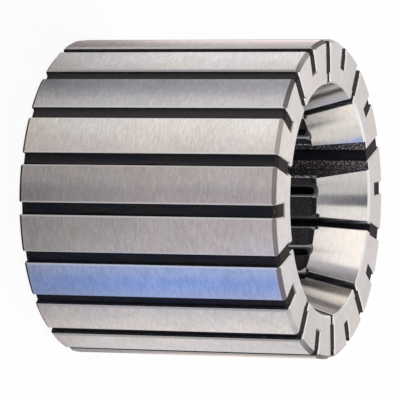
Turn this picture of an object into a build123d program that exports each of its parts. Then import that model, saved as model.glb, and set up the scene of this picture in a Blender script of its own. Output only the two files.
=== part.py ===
"""Expanding mandrel sleeve: hardened steel, slit from both ends in turn, with rubber in its grooves.

The sleeve stands on its rear face. Z is its axis, the origin is the centre of the rear face, and the
keyed slot lies at +X. Lengths are in millimetres and angles in degrees.
"""

import os
from math import cos, radians, sin, tan

from build123d import *

# Outside
outside_diameter = 52.0
sleeve_length = 44.0
corner_chamfer = 0.6

# Bore: a ground cone in each end, and a wider relief between them
mouth_diameter = 38.0
mouth_chamfer = 0.22
cone_half_angle = 18.0
cone_depth = 8.3
relief_diameter = 33.4
relief_run = 1.0

# Grooves along the outside, which are deeper where they are slit through to the bore
slot_pairs = 10
groove_width = 2.0
groove_depth = 4.1
open_groove_depth = 5.4

# Slits, open at the front and at the rear in turn
slit_width = 1.3
slit_corner_radius = 0.45
slit_countersink_radius = 1.0
slit_countersink_depth = 0.8
bridge_length = 9.3

# Keyway along the bore, under the keyed slot, with sides that spread towards the axis
keyway_width = 5.0
keyway_floor_height = 19.2
keyway_side_angle = 8.0

# Broken edges
groove_edge_chamfer = 0.28
face_edge_chamfer = 0.22
slit_edge_chamfer = 0.35
pad_edge_chamfer = 0.2

# Rubber strips
strip_end_recess = 0.15
strip_sink = 0.75
strip_top_hollow = 0.12
strip_bevel_length = 0.65
strip_bevel_height = 0.6

# How far a cutter runs past the face that it cuts through
overrun = 1.0

outer_radius = outside_diameter / 2
mouth_radius = mouth_diameter / 2
relief_radius = relief_diameter / 2
cone_slope = tan(radians(cone_half_angle))
cone_small_radius = mouth_radius - cone_depth * cone_slope
groove_floor = outer_radius - groove_depth
open_groove_floor = outer_radius - open_groove_depth
groove_half_width = groove_width / 2
slit_half_width = slit_width / 2
slot_pitch = 180 / slot_pairs
mid_plane = Plane.XY.offset(sleeve_length / 2)


def end_section(face, inward):
    """Section points of one end, from the outside in. inward is 1 at the rear face and -1 at the front."""
    cone = radians(cone_half_angle)
    return [
        (outer_radius, face + inward * corner_chamfer),
        (outer_radius - corner_chamfer, face),
        (mouth_radius + mouth_chamfer, face),
        (mouth_radius - mouth_chamfer * sin(cone), face + inward * mouth_chamfer * cos(cone)),
        (cone_small_radius, face + inward * cone_depth),
        (relief_radius, face + inward * (cone_depth + relief_run)),
    ]


def gap_outline(low, high, half_width):
    """A gap's cross-section between two radii, with X along the gap's own radius."""
    with BuildSketch() as outline:
        with Locations(((low + high) / 2, 0)):
            Rectangle(high - low, 2 * half_width)
    return outline.sketch


def vee_outline(edge, half_width, chamfer, way):
    """Section of a cutter that breaks both edges of a gap by 45 degrees.

    The gap opens through a wall at edge. way is 1 where it opens outwards and -1 where it opens inwards.
    """
    narrow = edge - way * chamfer
    wide = edge + way * overrun
    wide_half = half_width + chamfer + overrun
    corners = [(narrow, half_width), (wide, wide_half), (wide, -wide_half), (narrow, -half_width)]
    with BuildSketch() as outline:
        with BuildLine():
            Polyline(*corners, close=True)
        make_face()
    return outline.sketch


def slit_side(half_width, end, top):
    """A slit seen along its own radius, from its end up to top."""
    with BuildSketch() as outline:
        with Locations((0, (end + top) / 2)):
            Rectangle(2 * half_width, top - end)
    return outline.sketch


# Groove cutter: the groove from end to end, its long edges broken, and its edges on both faces broken
face_cut = overrun + face_edge_chamfer
past_outside = outer_radius + 2 * overrun
with BuildPart() as groove_cutter:
    with BuildSketch(Plane.XY.offset(-overrun)):
        add(gap_outline(groove_floor, past_outside, groove_half_width))
        add(vee_outline(outer_radius, groove_half_width, groove_edge_chamfer, 1))
    extrude(amount=sleeve_length + 2 * overrun)
    with BuildSketch(Plane.XY.offset(sleeve_length + overrun)):
        add(gap_outline(groove_floor - face_cut, past_outside, groove_half_width + face_cut))
    extrude(amount=-face_cut, taper=45)
    with BuildSketch(Plane.XY.offset(-overrun)):
        add(gap_outline(groove_floor - face_cut, past_outside, groove_half_width + face_cut))
    extrude(amount=face_cut, taper=45)

# Slit cutter, for a slit that is open at the front
with BuildPart() as front_slit_cutter:
    with BuildSketch(Plane.YZ) as narrow_slit:
        add(slit_side(slit_half_width, bridge_length, sleeve_length + overrun))
        fillet(narrow_slit.vertices().group_by(Axis.Y)[0], slit_corner_radius)
    extrude(amount=open_groove_floor)
    # Deeper groove over the slit
    with BuildSketch(Plane.YZ.offset(open_groove_floor)):
        add(slit_side(groove_half_width, bridge_length, sleeve_length + overrun))
    extrude(amount=groove_floor - open_groove_floor)
    # Edges along the relief, and the pads' inner corners
    with BuildSketch(Plane.YZ.offset(relief_radius + slit_edge_chamfer)):
        add(slit_side(slit_half_width, bridge_length + slit_edge_chamfer, sleeve_length - cone_depth))
    extrude(amount=-slit_edge_chamfer - overrun, taper=-45)
    # Countersink at the slit's end, which reaches into the end of the pad
    with BuildSketch(Plane.YZ.offset(relief_radius - overrun)):
        with Locations((0, bridge_length)):
            Circle(slit_countersink_radius + overrun)
    extrude(amount=slit_countersink_depth + overrun, taper=45)
    # Edges along the two pads that the slit parts
    with BuildSketch(Plane.XY.offset(sleeve_length + overrun)):
        add(vee_outline(mouth_radius + overrun * cone_slope, slit_half_width, pad_edge_chamfer, -1))
    extrude(amount=(cone_depth + overrun) / cos(radians(cone_half_angle)), dir=(-cone_slope, 0, -1))
    # Edges on the front face
    with BuildSketch(Plane.XY.offset(sleeve_length + overrun)):
        add(gap_outline(0, groove_floor, slit_half_width + face_cut))
    extrude(amount=-face_cut, taper=45)
    with BuildSketch(Plane.XY.offset(sleeve_length + overrun)):
        add(gap_outline(open_groove_floor - face_cut, past_outside, groove_half_width + face_cut))
    extrude(amount=-face_cut, taper=45)

with BuildPart() as rear_slit_cutter:
    mirror(front_slit_cutter.part, about=mid_plane)

# Cutter for the keyed slot, which is as wide as its groove, and for the keyway under it
keyway_half_width = keyway_width / 2
keyway_spread = keyway_floor_height * tan(radians(keyway_side_angle))
with BuildPart() as keyed_slit_cutter:
    with BuildSketch(Plane.YZ):
        add(slit_side(groove_half_width, bridge_length, sleeve_length + overrun))
    extrude(amount=groove_floor)
    with BuildSketch(Plane.XY.offset(sleeve_length + overrun)):
        add(gap_outline(0, groove_floor, groove_half_width + face_cut))
    extrude(amount=-face_cut, taper=45)
    with BuildSketch(Plane.XY.offset(-overrun)):
        with BuildLine():
            Polyline(
                (0, keyway_half_width + keyway_spread),
                (keyway_floor_height, keyway_half_width),
                (keyway_floor_height, -keyway_half_width),
                (0, -keyway_half_width - keyway_spread),
                close=True,
            )
        make_face()
    extrude(amount=sleeve_length + 2 * overrun)

with BuildPart() as sleeve:
    with BuildSketch(Plane.XZ):
        with BuildLine():
            Polyline(*end_section(0, 1), *reversed(end_section(sleeve_length, -1)), close=True)
        make_face()
    revolve(axis=Axis.Z)
    with PolarLocations(0, 2 * slot_pairs):
        add(groove_cutter.part, mode=Mode.SUBTRACT)
    with PolarLocations(0, slot_pairs):
        add(front_slit_cutter.part, mode=Mode.SUBTRACT)
    with PolarLocations(0, slot_pairs, start_angle=slot_pitch):
        add(rear_slit_cutter.part, mode=Mode.SUBTRACT)
    add(keyed_slit_cutter.part, mode=Mode.SUBTRACT)


def build_strip(angle, inner_radius):
    """The rubber in a groove whose slit is open at the front.

    angle is the groove's place from the keyed slot.
    inner_radius is how far in the rubber reaches over the slit.
    """
    groove_plane = Plane.XY.rotated((0, 0, angle))
    across_plane = Plane((0, 0, 0), x_dir=groove_plane.y_dir, z_dir=groove_plane.x_dir)
    length_plane = Plane((0, 0, 0), x_dir=groove_plane.x_dir, z_dir=-groove_plane.y_dir)
    top = outer_radius - strip_sink
    bevel_foot = top - strip_bevel_height
    with BuildPart() as strip:
        with BuildSketch(groove_plane.offset(strip_end_recess)):
            left = (top, groove_half_width)
            right = (top, -groove_half_width)
            with BuildLine():
                Polyline(left, (groove_floor, groove_half_width), (groove_floor, -groove_half_width), right)
                ThreePointArc(right, (top - strip_top_hollow, 0), left)
            make_face()
        extrude(amount=sleeve_length - 2 * strip_end_recess)
        with BuildSketch(across_plane.offset(inner_radius)):
            add(slit_side(groove_half_width, bridge_length, sleeve_length - strip_end_recess))
        extrude(amount=groove_floor - inner_radius)
        # Bevels at both ends of the strip's top
        with BuildSketch(length_plane):
            for end, inward in ((strip_end_recess, 1), (sleeve_length - strip_end_recess, -1)):
                bevel_head = end + inward * strip_bevel_length
                with BuildLine():
                    Polyline(
                        (bevel_foot, end),
                        (top, bevel_head),
                        (top + overrun, bevel_head),
                        (top + overrun, end - inward * overrun),
                        (bevel_foot, end - inward * overrun),
                        close=True,
                    )
                make_face()
        extrude(amount=groove_width, both=True, mode=Mode.SUBTRACT)
    return strip.part


strips = {"keyed_slot_strip": build_strip(0, keyway_floor_height)}
for number in range(1, slot_pairs):
    strips[f"front_slot_strip_{number}"] = build_strip(2 * slot_pitch * number, open_groove_floor)
for number in range(1, slot_pairs + 1):
    front_shaped = build_strip(2 * slot_pitch * number - slot_pitch, open_groove_floor)
    strips[f"rear_slot_strip_{number}"] = mirror(front_shaped, about=mid_plane)

os.makedirs("parts", exist_ok=True)
sleeve.part.label = "sleeve"
export_step(sleeve.part, "parts/sleeve.step")
for name, strip_part in strips.items():
    strip_part.label = name
    export_step(strip_part, f"parts/{name}.step")
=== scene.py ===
"""Looks of the expanding mandrel sleeve: its finishes, the studio it stands in and the camera.

The sleeve stands on its rear face, and its axis is Z. The picture shows it with that axis level, so the
camera is turned on its side. Lengths are in metres, and angles in degrees, from the keyed slot at +X.
"""

import logging
import math
from dataclasses import dataclass
from enum import Enum
from typing import Any

import bpy
from mathutils import Matrix, Vector


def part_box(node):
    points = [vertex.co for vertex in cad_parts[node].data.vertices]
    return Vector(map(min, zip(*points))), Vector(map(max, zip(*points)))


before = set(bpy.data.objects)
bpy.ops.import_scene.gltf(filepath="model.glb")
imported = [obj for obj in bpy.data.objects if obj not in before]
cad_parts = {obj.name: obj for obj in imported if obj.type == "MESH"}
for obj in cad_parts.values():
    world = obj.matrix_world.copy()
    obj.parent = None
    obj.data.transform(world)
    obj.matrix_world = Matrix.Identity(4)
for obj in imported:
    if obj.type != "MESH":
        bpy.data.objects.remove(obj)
log = logging.getLogger("sleeve")

Triple = tuple[float, float, float]
Colour = Triple
Point = Triple
Limits = tuple[float, float]

MM = 0.001
WHITE: Colour = (1.0, 1.0, 1.0)
# The side of the sleeve that is at the top of the picture
UPPER_SIDE = 67.3


class Signal:
    """A number that varies over a surface. Python's operators on it add Math nodes."""

    def __init__(self, graph: "Graph", socket: bpy.types.NodeSocket) -> None:
        """Wrap an output socket of the graph."""
        self.graph = graph
        self.socket = socket

    def _math(self, operation: str, *terms: Any) -> "Signal":
        """Add one Math node for an operation on the given terms."""
        return self.graph.node("ShaderNodeMath", {"operation": operation}, dict(enumerate(terms)))

    def __add__(self, other: Any) -> "Signal":
        """self + other."""
        return self._math("ADD", self, other)

    def __radd__(self, other: Any) -> "Signal":
        """other + self."""
        return self._math("ADD", other, self)

    def __sub__(self, other: Any) -> "Signal":
        """self - other."""
        return self._math("SUBTRACT", self, other)

    def __rsub__(self, other: Any) -> "Signal":
        """other - self."""
        return self._math("SUBTRACT", other, self)

    def __mul__(self, other: Any) -> "Signal":
        """self * other."""
        return self._math("MULTIPLY", self, other)

    def __rmul__(self, other: Any) -> "Signal":
        """other * self."""
        return self._math("MULTIPLY", other, self)

    def __truediv__(self, other: Any) -> "Signal":
        """self / other."""
        return self._math("DIVIDE", self, other)

    def __abs__(self) -> "Signal":
        """Size without sign."""
        return self._math("ABSOLUTE", self)

    def root(self) -> "Signal":
        """Square root."""
        return self._math("SQRT", self)

    def angle_from(self, level: "Signal") -> "Signal":
        """Angle in radians of the point (level, self) round the origin."""
        return self._math("ARCTAN2", self, level)

    def part(self) -> "Signal":
        """Fractional part, from 0 to 1, below zero too."""
        return self._math("FRACT", self)

    def rise(self, low: float, high: float) -> "Signal":
        """Smooth step.

        Args:
            low: Value at which the step starts, at 0.
            high: Value at which it ends, at 1. Below low, the step falls instead.

        Returns:
            The step, from 0 to 1.
        """
        start, end = sorted((low, high))
        limits = {"Value": self, 1: start, 2: end, 3: float(low > high), 4: float(low < high)}
        return self.graph.node("ShaderNodeMapRange", {"interpolation_type": "SMOOTHSTEP"}, limits)

    def within(self, start: float, full: float, last: float, end: float) -> "Signal":
        """Soft window: 0 up to start, 1 from full to last, and 0 again past end."""
        return self.rise(start, full) * self.rise(end, last)

    def scaled(self, low: float, high: float) -> "Signal":
        """A signal that runs from 0 to 1, made to run from low to high."""
        return self * (high - low) + low


class Blend(Enum):
    """What a Mix node mixes: its data type, the numbers of its two inputs, and that of its output."""

    COLOUR = ("RGBA", 6, 7, 2)
    VECTOR = ("VECTOR", 4, 5, 1)


class Pattern(Enum):
    """A noise: its waves per metre along X, Y and Z, and how many finer waves are added."""

    ROUND = ((760.0, 760.0, 3100.0), 3.0)
    BRUSHED = ((480.0, 480.0, 1000.0), 2.0)
    CLOUD = ((190.0, 190.0, 150.0), 3.0)
    STAIN = ((70.0, 70.0, 90.0), 2.0)
    DUST = ((2600.0, 2600.0, 2600.0), 2.0)
    SPECKLE = ((2600.0, 2600.0, 2600.0), 3.0)
    GRIT = ((3600.0, 3600.0, 3600.0), 1.0)
    RIPPLE = ((1100.0, 1100.0, 160.0), 2.0)
    DRAWN = ((1700.0, 1700.0, 240.0), 2.0)


class Graph:
    """The node tree of one material or world."""

    def __init__(self, tree: bpy.types.NodeTree, output: str) -> None:
        """Clear the tree and add its output node.

        Args:
            tree: The node tree.
            output: The output node's type.
        """
        self.tree = tree
        tree.nodes.clear()
        self.end = tree.nodes.new(output)

    def node(
        self, kind: str, settings: dict[str, Any], inputs: dict[Any, Any], output: Any = 0
    ) -> Signal:
        """Add a node.

        Args:
            kind: The node's type.
            settings: Its properties, which are set first. "stops" are a ramp's positions and colours.
            inputs: Values or signals of its sockets, by name or number.
            output: Name or number of the socket that is wanted.

        Returns:
            The wanted output.
        """
        made = self.tree.nodes.new(kind)
        for name, value in settings.items():
            if name == "stops":
                elements = made.color_ramp.elements
                while len(elements) < len(value):
                    elements.new(0.5)
                for element, (position, colour) in zip(elements, value):
                    element.position = position
                    element.color = (*colour, 1.0)
            else:
                setattr(made, name, value)
        for name, value in inputs.items():
            socket = made.inputs[name]
            if isinstance(value, Signal):
                self.tree.links.new(value.socket, socket)
            elif isinstance(value, tuple) and socket.type == "RGBA":
                socket.default_value = (*value, 1.0)
            else:
                socket.default_value = value
        return Signal(self, made.outputs[output])

    def mix(
        self, factor: Any, low: Any, high: Any, kind: Blend = Blend.COLOUR, way: str = "MIX"
    ) -> Signal:
        """Mix two colours or vectors.

        Args:
            factor: 0 where low shows and 1 where high does.
            low: The first colour or vector.
            high: The second one.
            kind: Which of the two they are.
            way: How they are put together.

        Returns:
            The mixture.
        """
        data_type, first, second, output = kind.value
        settings = {"data_type": data_type, "blend_type": way}
        return self.node("ShaderNodeMix", settings, {0: factor, first: low, second: high}, output)

    def multiply(self, first: Any, second: Any) -> Signal:
        """Multiply two colours."""
        return self.mix(1.0, first, second, way="MULTIPLY")

    def tint(self, colour: Any, level: Signal) -> Signal:
        """Multiply a colour by a number that varies."""
        grey = self.node("ShaderNodeCombineColor", {}, {0: level, 1: level, 2: level})
        return self.multiply(colour, grey)

    def split(self, vector: Signal) -> list[Signal]:
        """The X, Y and Z parts of a vector."""
        first = self.node("ShaderNodeSeparateXYZ", {}, {0: vector})
        return [Signal(self, output) for output in first.socket.node.outputs]

    def noise(self, place: Signal, pattern: Pattern) -> Signal:
        """Add a noise.

        Args:
            place: Where it is read.
            pattern: Its waves.

        Returns:
            The noise, from 0 to 1.
        """
        waves, detail = pattern.value
        scaled = self.node("ShaderNodeVectorMath", {"operation": "MULTIPLY"}, {0: place, 1: waves})
        return self.node("ShaderNodeTexNoise", {}, {"Vector": scaled, "Scale": 1.0, "Detail": detail})

    def finish(self, shader: Signal) -> None:
        """Link a shader to the tree's output."""
        self.tree.links.new(shader.socket, self.end.inputs["Surface"])


def new_material(name: str) -> tuple[bpy.types.Material, Graph]:
    """Make an empty material.

    Args:
        name: The material's name.

    Returns:
        The material and its graph.
    """
    material = bpy.data.materials.new(name)
    material.use_nodes = True
    return material, Graph(material.node_tree, "ShaderNodeOutputMaterial")


@dataclass(frozen=True)
class Surface:
    """Where a point of the part is, and which way its surface faces.

    radius is the distance from the axis. along, outward and sideways say how far the surface faces along
    the axis, away from it and round it.
    """

    graph: Graph
    place: Signal
    x: Signal
    y: Signal
    z: Signal
    radius: Signal
    slope_x: Signal
    slope_y: Signal
    along: Signal

    @classmethod
    def read(cls, graph: Graph) -> "Surface":
        """Add the nodes that read the place and the slope.

        Args:
            graph: The graph to add them to.

        Returns:
            The surface.
        """
        place = graph.node("ShaderNodeTexCoord", {}, {}, "Object")
        x, y, z = graph.split(place)
        slope = graph.node("ShaderNodeNewGeometry", {}, {}, "True Normal")
        slope_x, slope_y, slope_z = graph.split(slope)
        radius = (x * x + y * y).root()
        return cls(graph, place, x, y, z, radius, slope_x, slope_y, abs(slope_z))

    @property
    def outward(self) -> Signal:
        """How far the surface faces away from the axis; below 0, it faces the axis."""
        return (self.slope_x * self.x + self.slope_y * self.y) / self.radius

    @property
    def sideways(self) -> Signal:
        """How far the surface faces round the axis, to either side."""
        return abs(self.slope_y * self.x - self.slope_x * self.y) / self.radius

    def facing(self, side: float) -> Signal:
        """How far the surface faces one side of the sleeve, which is given as an angle."""
        turn = math.radians(side)
        return self.slope_x * math.cos(turn) + self.slope_y * math.sin(turn)

    def towards(self, side: float) -> Signal:
        """How far the point lies from the axis towards one side of the sleeve."""
        turn = math.radians(side)
        return self.x * math.cos(turn) + self.y * math.sin(turn)

    def marks(self, *patterns: Pattern) -> dict[Pattern, Signal]:
        """Read the given patterns on the surface."""
        return {pattern: self.graph.noise(self.place, pattern) for pattern in patterns}


class Tilt(Enum):
    """Soft limits of how far a surface faces one way, for a step (two limits) or a window (four)."""

    FACE = (0.85, 0.95)
    LAND = (0.8, 0.9)
    BESIDE_AXIS = (0.4, 0.3)
    PAD_BESIDE_AXIS = (0.45, 0.4)
    SLIT_BESIDE_AXIS = (0.7, 0.6)
    PAD = (-0.6, -0.7)
    MOUTH = (-0.2, -0.3)
    CHAMFER = (0.5, 0.6)
    WALL = (0.8, 0.95)
    TOWARDS_LIGHT = (0.62, 0.80)
    DOWN_FACING = (-0.85, -0.95)
    SLANTED = (0.5, 0.6, 0.8, 0.85)
    MOUTH_EDGE = (0.5, 0.6, 0.85, 0.95)
    LONG_EDGE = (0.5, 0.6, 0.75, 0.8)
    PAD_EDGE = (-0.85, -0.8, -0.5, -0.45)
    SLIT_EDGE = (-0.9, -0.85, -0.6, -0.55)


class Mark(Enum):
    """Soft limits of a noise, from where its mark doesn't show to where it does in full."""

    COOL = (0.35, 0.65)
    DUSTY = (0.3, 0.75)
    STREAK = (0.46, 0.62)
    SPECK = (0.56, 0.66)
    PATCHY = (0.3, 0.5)
    DOT = (0.42, 0.52)
    BROWN = (0.42, 0.66)
    DUST = (0.52, 0.70)


@dataclass(frozen=True)
class Zones:
    """The sleeve's zones. Each is 1 inside it and 0 outside."""

    land: Signal
    face: Signal
    # painted highlight on the faces by the mouth
    rim_highlight: Signal
    chamfer: Signal
    pad: Signal
    long_edge: Signal
    edges: Signal
    bright: Signal
    slit_edge: Signal
    relief: Signal
    near_end: Signal


@dataclass(frozen=True)
class SleeveSizes:
    """The sleeve's sizes, and where the zones of its finish begin and end."""

    length: float = 44.0 * MM
    outer_radius: float = 26.0 * MM
    mouth_radius: float = 19.0 * MM
    cone_depth: float = 8.3 * MM
    cone_half_angle: float = 18.0
    relief_radius: float = 16.7 * MM
    keyway_half_width: float = 3.0 * MM
    keyway_corner: float = 2.9 * MM
    keyway_floor: float = 19.2 * MM

    # Where a zone begins to show, and where it shows in full, counted from one of the sizes above
    outside: Limits = (-0.4 * MM, -0.35 * MM)
    # painted highlight on the faces by the mouth
    rim_highlight: Limits = (0.75 * MM, 0.55 * MM)
    cone_end: Limits = (0.1 * MM, -0.1 * MM)
    relief_start: Limits = (0.0, 0.2 * MM)
    slit_rim: Limits = (0.22 * MM, 0.12 * MM)
    keyway_end: Limits = (0.1 * MM, 0.05 * MM)
    keyway_side: Limits = (0.1 * MM, 0.0)

    # The same, counted from the cone, an end, the keyway's corner or the axis
    cone_surface: Limits = (0.12 * MM, 0.08 * MM)
    cone_start: Limits = (0.1 * MM, 0.15 * MM)
    near_end: Limits = (9.0 * MM, 2.0 * MM)
    corner_line: Limits = (0.16 * MM, 0.08 * MM)
    # painted light on the faces towards one side, and where the painted highlight by the mouth shows and
    # how strong it is
    lit_face_reach: Limits = (9.0 * MM, 20.0 * MM)
    rim_side: Limits = (15.0 * MM, 17.3 * MM)
    rim_strength: Limits = (0.1, 0.9)
    inner_wall: Limits = (20.8 * MM, 20.4 * MM)
    keyway_start: Limits = (15.0 * MM, 15.2 * MM)
    corner_start: Limits = (15.5 * MM, 15.8 * MM)
    corner_end: Limits = (17.2 * MM, 17.0 * MM)

    def zones(self, surface: Surface) -> Zones:
        """Find the sleeve's zones by the place and the slope of its surface.

        Args:
            surface: The sleeve's surface.

        Returns:
            The zones.
        """
        radius, along, outward = surface.radius, surface.along, surface.outward
        from_end = self.length / 2 - abs(surface.z - self.length / 2)

        outside = self.step(radius, self.outer_radius, self.outside)
        outside = outside * along.rise(*Tilt.BESIDE_AXIS.value)
        land = outside * outward.rise(*Tilt.LAND.value)
        long_edge = outside * outward.within(*Tilt.LONG_EDGE.value)
        slanted = along.within(*Tilt.SLANTED.value)
        chamfer = slanted * outward.rise(*Tilt.CHAMFER.value)
        face_edge = slanted * surface.sideways.rise(*Tilt.CHAMFER.value)
        face = along.rise(*Tilt.FACE.value)
        # painted highlight on the faces by the mouth, stronger towards +X
        rim_highlight = face * self.step(radius, self.mouth_radius, self.rim_highlight)

        cone = self.mouth_radius - from_end * math.tan(math.radians(self.cone_half_angle))
        on_cone = (radius - cone).rise(*self.cone_surface) * from_end.rise(*self.cone_start)
        on_cone = on_cone * self.step(from_end, self.cone_depth, self.cone_end)
        on_cone = on_cone * along.rise(*Tilt.PAD_BESIDE_AXIS.value)
        pad = on_cone * outward.rise(*Tilt.PAD.value)
        pad_edge = on_cone * outward.within(*Tilt.PAD_EDGE.value)
        mouth_edge = along.within(*Tilt.MOUTH_EDGE.value) * outward.rise(*Tilt.MOUTH.value)

        relief = self.step(from_end, self.cone_depth, self.relief_start)
        slit_edge = along.rise(*Tilt.SLIT_BESIDE_AXIS.value) * outward.within(*Tilt.SLIT_EDGE.value)
        edges = (face_edge + long_edge + mouth_edge + pad_edge).rise(0.0, 1.0)
        return Zones(
            land=land,
            face=face,
            rim_highlight=rim_highlight * surface.x.rise(*self.rim_side).scaled(*self.rim_strength),
            chamfer=chamfer,
            pad=pad,
            long_edge=long_edge,
            edges=edges,
            bright=(land + face + pad + chamfer + edges).rise(0.0, 1.0),
            slit_edge=slit_edge * relief,
            relief=relief,
            near_end=from_end.rise(*self.near_end),
        )

    def keyway(self, surface: Surface) -> Signal:
        """Find the keyway.

        Args:
            surface: The sleeve's surface.

        Returns:
            1 inside the keyway and 0 outside.
        """
        below_floor = self.step(surface.x, self.keyway_floor, self.keyway_end)
        between_sides = self.step(abs(surface.y), self.keyway_half_width, self.keyway_side)
        return surface.x.rise(*self.keyway_start) * below_floor * between_sides

    def corner(self, surface: Surface, zones: Zones) -> Signal:
        """Find the keyway's two corners in the relief.

        Args:
            surface: The sleeve's surface.
            zones: Its zones.

        Returns:
            1 on the corners and 0 off them.
        """
        line = abs(abs(surface.y) - self.keyway_corner).rise(*self.corner_line)
        span = surface.x.rise(*self.corner_start) * surface.radius.rise(*self.corner_end)
        return zones.relief * line * span

    @staticmethod
    def step(signal: Signal, level: float, limits: Limits) -> Signal:
        """A soft step of a signal, with limits that count from a level."""
        return signal.rise(level + limits[0], level + limits[1])


@dataclass(frozen=True)
class SleeveSteel:
    """Hardened steel: bright where it is ground, dark scale in the slots and in the middle of the bore.

    chamfers gives the painted shade and reflection of the corner chamfers by how steeply they face the
    picture's top, from nearly straight down, below 0, to nearly straight up. Painted light also lightens
    the faces towards one side and by the mouth, and lights the slit edges on one side, the keyway's
    corners and the streaky walls that face the lower side.
    and up, and a strength is how far a mark shows where it is weakest and where it is strongest.
    """

    sizes: SleeveSizes = SleeveSizes()
    patterns: tuple[Pattern, ...] = (
        Pattern.ROUND,
        Pattern.BRUSHED,
        Pattern.CLOUD,
        Pattern.STAIN,
        Pattern.DUST,
        Pattern.GRIT,
        Pattern.DRAWN,
    )

    land: Colour = (0.84, 0.80, 0.765)
    warm: Colour = (1.012, 1.0, 0.985)
    cool: Colour = (0.988, 0.997, 1.015)
    face: Colour = (0.70, 0.66, 0.645)
    # painted light: the colour of the faces on the side that the light comes from
    lit_face: Colour = (0.79, 0.735, 0.715)
    # painted highlight on the faces by the mouth
    rim_highlight: Colour = (0.95, 0.94, 0.95)
    pad: Colour = (0.80, 0.785, 0.77)
    # painted shade and reflection of the corner chamfers, by the way they face
    chamfers: tuple[tuple[float, Colour], ...] = (
        (-70.0, (0.56, 0.54, 0.53)),
        (-46.0, (0.54, 0.52, 0.51)),
        (-39.0, (0.20, 0.175, 0.20)),
        (-26.0, (0.20, 0.175, 0.20)),
        (-14.0, (0.25, 0.225, 0.235)),
        (11.0, (0.25, 0.222, 0.21)),
        (16.0, (0.37, 0.345, 0.325)),
        (29.0, (0.37, 0.345, 0.325)),
        (34.0, (0.19, 0.18, 0.185)),
        (46.0, (0.20, 0.185, 0.185)),
        (53.0, (0.34, 0.31, 0.30)),
        (80.0, (0.44, 0.41, 0.40)),
    )
    broken_edge: Colour = (0.88, 0.86, 0.84)
    # painted highlight on the lit slit edges and dotted along the keyway's corners
    edge_highlight: Colour = (0.85, 0.84, 0.85)
    slit_edge: Colour = (0.13, 0.125, 0.13)
    scale: Colour = (0.024, 0.022, 0.028)
    # painted light, bluish, on the streaky walls that face the lower side
    lit_streak: Colour = (0.72, 0.75, 0.92)
    speck: Colour = (0.36, 0.32, 0.34)

    grain_range: Limits = (0.75, 1.24)
    brush_range: Limits = (0.91, 1.08)
    cloud_range: Limits = (0.88, 1.11)
    dust_range: Limits = (0.87, 1.13)
    scale_range: Limits = (0.6, 2.0)
    off_land_share: float = 0.55
    speck_strength: Limits = (0.12, 0.92)
    streak_light_strength: Limits = (0.12, 1.0)
    edge_light_strength: Limits = (0.6, 1.0)
    end_specks: float = 0.08

    land_roughness: float = 0.36
    pad_roughness: float = 0.20
    scale_roughness: float = 0.55
    roughness_spread: Limits = (-0.04, 0.04)
    scale_metal: float = 0.3
    edge_dulling: float = 0.5
    anisotropy: float = 0.94
    quarter_turn: float = 0.25
    grain_height: float = 0.5
    brush_height: float = 0.2
    bump_strength: float = 0.12
    bump_depth: float = 0.02 * MM
    # the side that the painted light on the faces and on the slit edges comes from
    lit_side: float = 135.0
    least_slope: float = 0.001

    def material(self) -> bpy.types.Material:
        """Build the material, whose zones follow the place and the slope of the surface.

        Returns:
            The material.
        """
        material, graph = new_material("sleeve_steel")
        surface = Surface.read(graph)
        zones = self.sizes.zones(surface)
        marks = surface.marks(*self.patterns)
        grain, brush, dust = marks[Pattern.ROUND], marks[Pattern.BRUSHED], marks[Pattern.DUST]
        dark = self.dark_colour(surface, zones, marks)
        ground = self.ground_colour(surface, zones, marks)
        height = grain * self.grain_height + brush * self.brush_height
        smooth = zones.pad.scaled(self.land_roughness, self.pad_roughness)
        smooth = grain.scaled(*self.roughness_spread) + smooth
        finish = {
            "Base Color": graph.mix(zones.bright, dark, ground),
            "Metallic": (zones.bright - zones.edges * self.edge_dulling).scaled(self.scale_metal, 1.0),
            "Roughness": zones.bright * (smooth - self.scale_roughness) + self.scale_roughness,
            "Normal": self.normal(surface, zones, height, dust),
            "Anisotropic": self.anisotropy,
            "Anisotropic Rotation": self.quarter_turn,
        }
        graph.finish(graph.node("ShaderNodeBsdfPrincipled", {}, finish))
        return material

    def normal(self, surface: Surface, zones: Zones, ground: Signal, scale: Signal) -> Signal:
        """Round the lands' long edges and raise the texture.

        Args:
            surface: The sleeve's surface.
            zones: Its zones.
            ground: Height of the texture where the steel is ground.
            scale: Its height where it isn't.

        Returns:
            The direction that the surface is shaded by.
        """
        graph = surface.graph
        smooth = graph.node("ShaderNodeNewGeometry", {}, {}, "Normal")
        parts = {0: surface.x / surface.radius, 1: surface.y / surface.radius, 2: 0.0}
        radial = graph.node("ShaderNodeCombineXYZ", {}, parts)
        bump = {
            "Strength": self.bump_strength,
            "Distance": self.bump_depth,
            "Height": zones.bright * ground + (1.0 - zones.bright) * scale,
            "Normal": graph.mix(zones.long_edge, smooth, radial, Blend.VECTOR),
        }
        return graph.node("ShaderNodeBump", {}, bump)

    def chamfer_painted_shade(self, surface: Surface) -> Signal:
        """Paint shade and reflection on the corner chamfers by how steeply they face the picture's top.

        Args:
            surface: The sleeve's surface.

        Returns:
            The colour.
        """
        stops = [((math.sin(math.radians(turn)) + 1.0) / 2.0, colour) for turn, colour in self.chamfers]
        across = (surface.slope_x * surface.slope_x + surface.slope_y * surface.slope_y).root()
        steepness = surface.facing(UPPER_SIDE) / (across + self.least_slope)
        place = (steepness + 1.0) / 2.0
        return surface.graph.node("ShaderNodeValToRGB", {"stops": stops}, {"Fac": place})

    def ground_colour(self, surface: Surface, zones: Zones, marks: dict[Pattern, Signal]) -> Signal:
        """Colour of the surfaces that are ground or broken, with painted light on them: the faces lighter
        towards one side, painted shade and reflection on the chamfers, and a painted highlight by the
        mouth.

        Args:
            surface: The sleeve's surface.
            zones: Its zones.
            marks: The patterns on it.

        Returns:
            The colour.
        """
        graph = surface.graph
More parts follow.
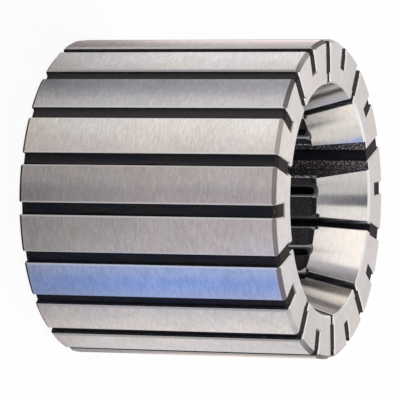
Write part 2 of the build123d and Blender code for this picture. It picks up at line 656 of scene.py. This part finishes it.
        # painted light: the faces lighter on the side that it comes from
        lit_face_share = surface.towards(self.lit_side).rise(*self.sizes.lit_face_reach)
        colour = graph.mix(zones.face, self.land, graph.mix(lit_face_share, self.face, self.lit_face))
        colour = graph.mix(zones.pad, colour, self.pad)
        # painted shade and reflection on the chamfers
        colour = graph.mix(zones.chamfer, colour, self.chamfer_painted_shade(surface))
        texture = marks[Pattern.ROUND].scaled(*self.grain_range)
        texture = texture * marks[Pattern.BRUSHED].scaled(*self.brush_range)
        texture = texture * marks[Pattern.CLOUD].scaled(*self.cloud_range)
        texture = texture * marks[Pattern.DUST].scaled(*self.dust_range)
        texture = (texture - 1.0) * zones.land.scaled(self.off_land_share, 1.0) + 1.0
        toned = graph.mix(marks[Pattern.STAIN].rise(*Mark.COOL.value), self.warm, self.cool)
        colour = graph.multiply(graph.tint(colour, texture), toned)
        colour = graph.mix(zones.edges, colour, self.broken_edge)
        # painted highlight on the faces by the mouth
        return graph.mix(zones.rim_highlight, colour, self.rim_highlight)

    def dark_colour(self, surface: Surface, zones: Zones, marks: dict[Pattern, Signal]) -> Signal:
        """Colour of the scale, with its specks, and with painted light: bluish on the streaky walls that
        face the lower side, on the slit edges that face one side, and dotted along the keyway's corners.

        Args:
            surface: The sleeve's surface.
            zones: Its zones.
            marks: The patterns on it.

        Returns:
            The colour.
        """
        graph, sizes, dust = surface.graph, self.sizes, marks[Pattern.DUST]
        colour = graph.tint(self.scale, dust.rise(*Mark.DUSTY.value).scaled(*self.scale_range))

        # painted light, bluish, on the streaky inner walls near the ends that face the lower side
        inner_wall = surface.sideways.rise(*Tilt.WALL.value) * surface.radius.rise(*sizes.inner_wall)
        down_facing_light = surface.facing(UPPER_SIDE).rise(*Tilt.DOWN_FACING.value).scaled(*self.streak_light_strength)
        lit_streaks = inner_wall * marks[Pattern.DRAWN].rise(*Mark.STREAK.value) * zones.near_end * down_facing_light
        colour = graph.mix(lit_streaks, colour, self.lit_streak)

        specks = (marks[Pattern.GRIT] + zones.near_end * self.end_specks).rise(*Mark.SPECK.value)
        specks = specks * sizes.keyway(surface).scaled(*self.speck_strength)
        colour = graph.mix(specks, colour, self.speck)

        # painted light on the slit edges that face one side, made patchy by a noise
        lit_share = surface.facing(self.lit_side).rise(*Tilt.TOWARDS_LIGHT.value)
        lit_share = lit_share * dust.rise(*Mark.PATCHY.value).scaled(*self.edge_light_strength)
        lit_slit_edge = graph.mix(lit_share, self.slit_edge, self.edge_highlight)
        thin = sizes.step(surface.radius, sizes.relief_radius, sizes.slit_rim)
        colour = graph.mix(zones.slit_edge, colour, graph.mix(thin, self.slit_edge, lit_slit_edge))
        # painted highlight dotted along the keyway's corners
        dotted = sizes.corner(surface, zones) * dust.rise(*Mark.DOT.value)
        return graph.mix(dotted, colour, self.edge_highlight)


@dataclass(frozen=True)
class MouldedRubber:
    """Black rubber, dull and dusty at its ends, with faint marks along its top."""

    body: Colour = (0.005, 0.0065, 0.013)
    brown: Colour = (0.013, 0.010, 0.011)
    lit: Colour = (0.036, 0.032, 0.032)
    shaded: Colour = (0.001, 0.001, 0.002)
    end: Colour = (0.020, 0.016, 0.015)
    dust: Colour = (0.085, 0.072, 0.070)

    slot_pitch: float = 18.0
    end_limits: Limits = (0.3, 0.6)
    lit_limits: Limits = (0.1, 0.6)
    shaded_limits: Limits = (0.62 * MM, 0.74 * MM)
    shaded_spread: float = 0.8 * MM
    speckle_range: Limits = (0.7, 1.3)
    dust_strength: Limits = (0.06, 0.8)

    roughness: Limits = (0.44, 0.58)
    end_dulling: float = 0.3
    gloss: float = 0.17
    bump_strength: float = 0.25
    bump_depth: float = 0.03 * MM

    def material(self) -> bpy.types.Material:
        """Build the material.

        Returns:
            The material.
        """
        material, graph = new_material("moulded_rubber")
        surface = Surface.read(graph)
        marks = surface.marks(Pattern.SPECKLE, Pattern.RIPPLE)
        speckle, ripple = marks[Pattern.SPECKLE], marks[Pattern.RIPPLE]
        at_end = surface.along.rise(*self.end_limits)
        colour = graph.mix(ripple.rise(*Mark.BROWN.value), self.body, self.brown)
        colour = graph.mix(surface.facing(UPPER_SIDE).rise(*self.lit_limits), colour, self.lit)
        edge = self.across(surface) + (ripple - 0.5) * self.shaded_spread
        colour = graph.mix(edge.rise(*self.shaded_limits), colour, self.shaded)
        colour = graph.mix(at_end, graph.tint(colour, speckle.scaled(*self.speckle_range)), self.end)
        dusty = speckle.rise(*Mark.DUST.value) * at_end.scaled(*self.dust_strength)
        bump = {"Strength": self.bump_strength, "Distance": self.bump_depth, "Height": speckle + ripple}
        finish = {
            "Base Color": graph.mix(dusty, colour, self.dust),
            "Roughness": ripple.scaled(*self.roughness) + at_end * self.end_dulling,
            "Normal": graph.node("ShaderNodeBump", {}, bump),
            "Specular IOR Level": self.gloss,
        }
        graph.finish(graph.node("ShaderNodeBsdfPrincipled", {}, finish))
        return material

    def across(self, surface: Surface) -> Signal:
        """Measure how far a point lies from the middle of its groove.

        Args:
            surface: The strip's surface.

        Returns:
            The distance round the axis, below 0 on one side of the middle.
        """
        pitch = math.radians(self.slot_pitch)
        turns = surface.y.angle_from(surface.x) / pitch
        return ((turns + 0.5).part() - 0.5) * pitch * surface.radius


@dataclass(frozen=True)
class PhotoCamera:
    """The camera that took the picture, as worked out from the slot edges seen in it.

    The sleeve's axis runs left to right in the picture. bearing is the direction of the camera round that
    axis, counted from the keyed slot. picture is the picture's side in pixels, and the pixel at middle_x,
    middle_y shows the middle of the axis.
    """

    bearing: float = 157.293
    elevation: float = 21.533
    roll: float = 0.774
    distance: float = 0.60003
    lens: float = 327.824
    sensor: float = 36.0
    picture: int = 400
    middle_x: float = 204.885
    middle_y: float = 197.475
    nearest_seen: float = 10.0 * MM

    def level(self, side: float) -> Vector:
        """Level direction that is an angle away from the one to the camera."""
        turn = math.radians(self.bearing + side)
        return Vector((math.cos(turn), math.sin(turn), 0.0))

    def place(self) -> None:
        """Make the camera, and make it the one that the scene is seen through."""
        low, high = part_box("sleeve")
        middle = Vector((0.0, 0.0, (low[2] + high[2]) / 2))
        tilt = math.radians(self.elevation)
        axis, near, top = Vector((0.0, 0.0, 1.0)), self.level(0.0), self.level(-90.0)
        towards = math.cos(tilt) * near + math.sin(tilt) * axis
        right = math.cos(tilt) * axis - math.sin(tilt) * near
        focal = self.lens / self.sensor * self.picture
        aside = (self.middle_x - self.picture / 2) / focal
        above = (self.picture / 2 - self.middle_y) / focal
        forward = (-towards - aside * right - above * top).normalized()
        right = (right - forward * right.dot(forward)).normalized()
        top = (top - forward * top.dot(forward) - right * top.dot(right)).normalized()
        turn = math.radians(self.roll)
        across = math.cos(turn) * right + math.sin(turn) * top
        upward = math.cos(turn) * top - math.sin(turn) * right

        data = bpy.data.cameras.new("photo_camera")
        data.sensor_width = self.sensor
        data.lens = self.lens
        data.clip_start = self.nearest_seen
        camera = bpy.data.objects.new("photo_camera", data)
        bpy.context.scene.collection.objects.link(camera)
        turned = Matrix((across, upward, -forward)).transposed().to_4x4()
        camera.matrix_world = Matrix.Translation(middle + self.distance * towards) @ turned
        bpy.context.scene.camera = camera
        log.info("placed %s", camera.name)


def stage_piece(
    name: str, points: list[Point], faces: list[tuple[int, ...]]
) -> tuple[bpy.types.Object, Graph]:
    """Make a piece of the studio, with a material of its own that is still empty.

    Args:
        name: The name of the piece and of its material.
        points: Its corners.
        faces: Its faces, as numbers of corners.

    Returns:
        The piece and its material's graph.
    """
    mesh = bpy.data.meshes.new(name)
    mesh.from_pydata(points, [], faces)
    material, graph = new_material(name)
    mesh.materials.append(material)
    piece = bpy.data.objects.new(name, mesh)
    bpy.context.scene.collection.objects.link(piece)
    log.info("built %s", name)
    return piece, graph


def show_in_reflections_only(piece: bpy.types.Object) -> None:
    """Hide a piece from everything but the rays that the metal reflects.

    Args:
        piece: The piece.
    """
    piece.visible_camera = False
    piece.visible_diffuse = False
    piece.visible_shadow = False
    piece.visible_transmission = False


def stand_up(name: str, points: list[Point], colours: list[Colour], row: int) -> None:
    """Make a glowing card from a grid of points, which only the metal's reflections show.

    Args:
        name: The card's name.
        points: The grid's points, row by row.
        colours: The colour of the light at each point.
        row: How many points a row has.
    """
    corners = range(len(points) - row)
    faces = [(at, at + 1, at + row + 1, at + row) for at in corners if at % row < row - 1]
    card, graph = stage_piece(name, points, faces)
    glow = card.data.color_attributes.new(name="glow", type="FLOAT_COLOR", domain="POINT")
    for item, colour in zip(glow.data, colours):
        item.color = (*colour, 1.0)
    colour = graph.node("ShaderNodeAttribute", {"attribute_name": "glow"}, {}, "Color")
    graph.finish(graph.node("ShaderNodeEmission", {}, {"Color": colour}))
    show_in_reflections_only(card)


def blend(low: Colour, high: Colour, share: float, level: float = 1.0) -> Colour:
    """Mix two colours: low where share is 0 and high where it is 1, times level."""
    red, green, blue = (level * (first + (second - first) * share) for first, second in zip(low, high))
    return (red, green, blue)


@dataclass(frozen=True)
class FloorCard:
    """A card on the floor that one land of the sleeve reflects from end to end.

    place counts the lands, upwards in the picture, from the lowest one that shows. low_colour is what the
    land's lower edge reflects in its middle, and the levels say how much dimmer or brighter its ends are.
    """

    name: str
    place: int
    low_colour: Colour
    high_colour: Colour
    near_level: float
    far_level: float
    first_slot: float = -94.56
    slot_pitch: float = 18.0
    steps: int = 6
    foot_radius: float = 26.6 * MM
    foot_share: float = 0.8
    near_run: float = 22.04 * MM
    middle_run: float = 58.0 * MM
    far_run: float = 100.0 * MM
    reach: float = 430.0 * MM
    lift: float = 0.2 * MM

    def build(self, bearing: float) -> None:
        """Build the card.

        Args:
            bearing: The camera's direction round the sleeve.
        """
        runs = (0.0, self.near_run, self.middle_run, self.far_run, self.reach)
        levels = (self.foot_share * self.near_level, self.near_level, 1.0, self.far_level, self.far_level)
        points, colours = [], []
        for step in range(self.steps + 1):
            share = step / self.steps
            slot = self.first_slot + self.slot_pitch * (self.place + share)
            foot, run = math.radians(bearing - slot), math.radians(bearing - 2.0 * slot)
            for length, level in zip(runs, levels):
                x = self.foot_radius * math.cos(foot) + length * math.cos(run)
                y = self.foot_radius * math.sin(foot) + length * math.sin(run)
                points.append((x, y, self.lift))
                colours.append(blend(self.low_colour, self.high_colour, share, level))
        stand_up(self.name, points, colours, len(runs))


@dataclass(frozen=True)
class WallCard:
    """A card that stands on the floor some way off, which the ground pads in the bore reflect.

    Its angles are counted round the sleeve from the camera's bearing, towards the top of the picture.
    """

    name: str
    start: float
    end: float
    start_colour: Colour
    end_colour: Colour
    height: float = 460.0 * MM
    radius: float = 480.0 * MM
    step_angle: float = 3.0
    least_steps: int = 2

    def build(self, bearing: float) -> None:
        """Build the card.

        Args:
            bearing: The camera's direction round the sleeve.
        """
        span = self.end - self.start
        steps = max(self.least_steps, round(span / self.step_angle))
        points, colours = [], []
        for step in range(steps + 1):
            turn = math.radians(bearing - self.start - span * step / steps)
            for height in (0.0, self.height):
                points.append((self.radius * math.cos(turn), self.radius * math.sin(turn), height))
                colours.append(blend(self.start_colour, self.end_colour, step / steps))
        stand_up(self.name, points, colours, 2)


@dataclass(frozen=True)
class SoftLamp:
    """A square lamp that points at the sleeve. Its side is in metres and its power in watts."""

    name: str
    place: Point
    side: float
    power: float

    def build(self) -> None:
        """Build the lamp."""
        data = bpy.data.lights.new(self.name, "AREA")
        data.size = self.side
        data.energy = self.power
        lamp = bpy.data.objects.new(self.name, data)
        lamp.location = self.place
        lamp.rotation_euler = (-Vector(self.place)).to_track_quat("-Z", "Y").to_euler()
        lamp.visible_glossy = False
        bpy.context.scene.collection.objects.link(lamp)
        log.info("built %s", self.name)


@dataclass(frozen=True)
class Studio:
    """A white sweep, soft lamps, and cards round the sleeve that shape what the metal reflects."""

    bearing: float
    floor_size: float = 6.0
    floor_colour: Colour = (0.88, 0.88, 0.88)
    shadow_share: float = 0.09
    world_light: float = 0.55
    foot_radius: float = 26.6 * MM
    foot_lift: float = 0.1 * MM
    foot_corners: int = 48
    foot_shade_colour: Colour = (0.03, 0.028, 0.03)
    lamps: tuple[SoftLamp, ...] = (
        SoftLamp("key_lamp", (0.9, -1.3, 1.7), 1.4, 26.0),
        SoftLamp("fill_lamp", (-1.6, 0.7, 1.3), 1.8, 18.0),
    )
    floor_cards: tuple[FloorCard, ...] = (
        FloorCard("lowest_card", 0, (0.84, 0.73, 0.67), (0.87, 0.72, 0.66), 0.30, 1.45),
        FloorCard("low_card", 1, (1.11, 1.13, 1.25), (0.79, 0.71, 0.68), 0.81, 0.86),
        FloorCard("below_card", 2, (1.04, 1.05, 1.10), (0.45, 0.44, 0.54), 0.61, 0.73),
        FloorCard("blue_card", 3, (0.18, 0.50, 1.48), (0.23, 0.51, 1.24), 0.39, 0.60),
        FloorCard("grey_low_card", 4, (0.51, 0.48, 0.58), (0.49, 0.46, 0.53), 0.25, 1.08),
        FloorCard("grey_card", 5, (0.81, 0.76, 0.85), (0.22, 0.20, 0.23), 0.25, 0.92),
        FloorCard("key_card", 6, (0.47, 0.44, 0.47), (1.05, 1.08, 1.09), 0.57, 1.09),
        FloorCard("shade_card", 7, (0.95, 1.02, 1.15), (0.10, 0.12, 0.20), 0.45, 0.79),
        FloorCard("top_card", 8, (1.09, 1.08, 1.02), (1.08, 1.13, 1.31), 0.57, 1.02),
        FloorCard("back_card", 9, (0.12, 0.12, 0.13), (1.90, 1.70, 1.70), 0.43, 1.18),
    )
    wall_cards: tuple[WallCard, ...] = (
        WallCard(
            "left_wall", -168.0, -157.0, (0.0525, 0.0543, 0.0581), (0.0525, 0.0543, 0.0581), 180.0 * MM
        ),
        WallCard("left_glow", -157.0, -149.0, (0.137, 0.141, 0.15), (0.168, 0.171, 0.184), 250.0 * MM),
        WallCard("left_band", -149.0, -139.0, (0.0105, 0.0121, 0.0145), (0.0158, 0.0181, 0.0213)),
        WallCard("low_wall", -139.0, -114.0, (0.105, 0.111, 0.126), (0.924, 0.956, 0.987)),
        WallCard("cream_wall", -114.0, -82.0, (1.37, 1.29, 1.22), (1.07, 1.02, 0.978)),
        WallCard("pale_wall", -82.0, -66.0, (0.903, 0.865, 0.832), (0.777, 0.754, 0.755)),
        WallCard("blue_wall", -66.0, -56.0, (0.231, 0.382, 1.02), (0.189, 0.322, 1.02), 210.0 * MM),
        WallCard("grey_wall", -56.0, -5.0, (1.16, 1.1, 1.05), (0.588, 0.573, 0.581)),
        WallCard("camera_wall", -5.0, 7.0, (0.168, 0.171, 0.203), (0.063, 0.0654, 0.0968)),
        WallCard("white_wall", 7.0, 30.0, (1.07, 1.04, 1.01), (1.03, 0.986, 0.968)),
        WallCard("key_wall", 30.0, 74.0, (1.32, 1.23, 1.16), (1.32, 1.23, 1.16)),
        WallCard("shade_wall", 74.0, 100.0, (0.609, 0.583, 0.639), (0.021, 0.0221, 0.029)),
        WallCard("brown_wall", 100.0, 113.0, (0.0525, 0.0453, 0.0387), (0.441, 0.382, 0.31)),
        WallCard("gold_wall", 113.0, 125.0, (1.1, 0.966, 0.842), (0.966, 0.825, 0.707)),
        WallCard("umber_wall", 125.0, 156.0, (0.315, 0.252, 0.203), (0.021, 0.0181, 0.0155), 250.0 * MM),
    )

    def build(self) -> None:
        """Build the floor, the world, the lamps and the cards."""
        self.floor()
        self.foot()
        self.world()
        for lamp in self.lamps:
            lamp.build()
        for card in (*self.floor_cards, *self.wall_cards):
            card.build(self.bearing)

    @staticmethod
    def seen(graph: Graph) -> Signal:
        """Find the rays that look at the backdrop itself: from the camera, off metal or through glass.

        Args:
            graph: The backdrop's graph.

        Returns:
            1 for those rays and 0 for the others.
        """
        kinds = ("Is Camera Ray", "Is Glossy Ray", "Is Transmission Ray")
        camera, glossy, through = (graph.node("ShaderNodeLightPath", {}, {}, kind) for kind in kinds)
        return (camera + glossy + through).rise(0.0, 1.0)

    def floor(self) -> None:
        """Build the floor, which shows white and keeps a soft shadow."""
        half = self.floor_size / 2
        corners = [(-half, -half, 0.0), (half, -half, 0.0), (half, half, 0.0), (-half, half, 0.0)]
        _, graph = stage_piece("floor", corners, [(0, 1, 2, 3)])
        paper = graph.node("ShaderNodeBsdfDiffuse", {}, {"Color": self.floor_colour})
        white = graph.node("ShaderNodeEmission", {}, {"Color": WHITE, "Strength": 1.0})
        share = self.seen(graph) * (1.0 - self.shadow_share)
        graph.finish(graph.node("ShaderNodeMixShader", {}, {0: share, 1: paper, 2: white}))

    def foot(self) -> None:
        """Build the dark patch of painted shade under the sleeve, where the floor lies in its shadow,
        which only the metal's own reflections show.
        """
        numbers = tuple(range(self.foot_corners))
        turns = [2 * math.pi * number / self.foot_corners for number in numbers]
        radius, lift = self.foot_radius, self.foot_lift
        corners = [(radius * math.cos(turn), radius * math.sin(turn), lift) for turn in turns]
        foot, graph = stage_piece("foot_shade", corners, [numbers])
        graph.finish(graph.node("ShaderNodeEmission", {}, {"Color": self.foot_shade_colour}))
        show_in_reflections_only(foot)

    def world(self) -> None:
        """Set the world: white to look at, and a soft pale light on everything else."""
        world = bpy.data.worlds.new("studio")
        world.use_nodes = True
        graph = Graph(world.node_tree, "ShaderNodeOutputWorld")
        colour = graph.tint(WHITE, self.seen(graph).scaled(self.world_light, 1.0))
        graph.finish(graph.node("ShaderNodeBackground", {}, {"Color": colour, "Strength": 1.0}))
        bpy.context.scene.world = world


@dataclass(frozen=True)
class Sleeve:
    """The slotted steel sleeve and the rubber strips in its grooves."""

    steel: SleeveSteel = SleeveSteel()
    rubber: MouldedRubber = MouldedRubber()

    def dress(self) -> None:
        """Give every piece its finish."""
        steel, rubber = self.steel.material(), self.rubber.material()
        for name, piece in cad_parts.items():
            finish = steel if name == "sleeve" else rubber
            for slot in piece.material_slots:
                slot.material = finish
            log.info("dressed %s in %s", name, finish.name)


def main() -> None:
    """Dress the sleeve, build the studio and place the camera."""
    logging.basicConfig(level=logging.INFO, format="%(name)s: %(message)s")
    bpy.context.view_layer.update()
    Sleeve().dress()
    camera = PhotoCamera()
    camera.place()
    Studio(camera.bearing).build()
    bpy.context.scene.view_settings.view_transform = "Standard"


if __name__ == "__main__":
    main()
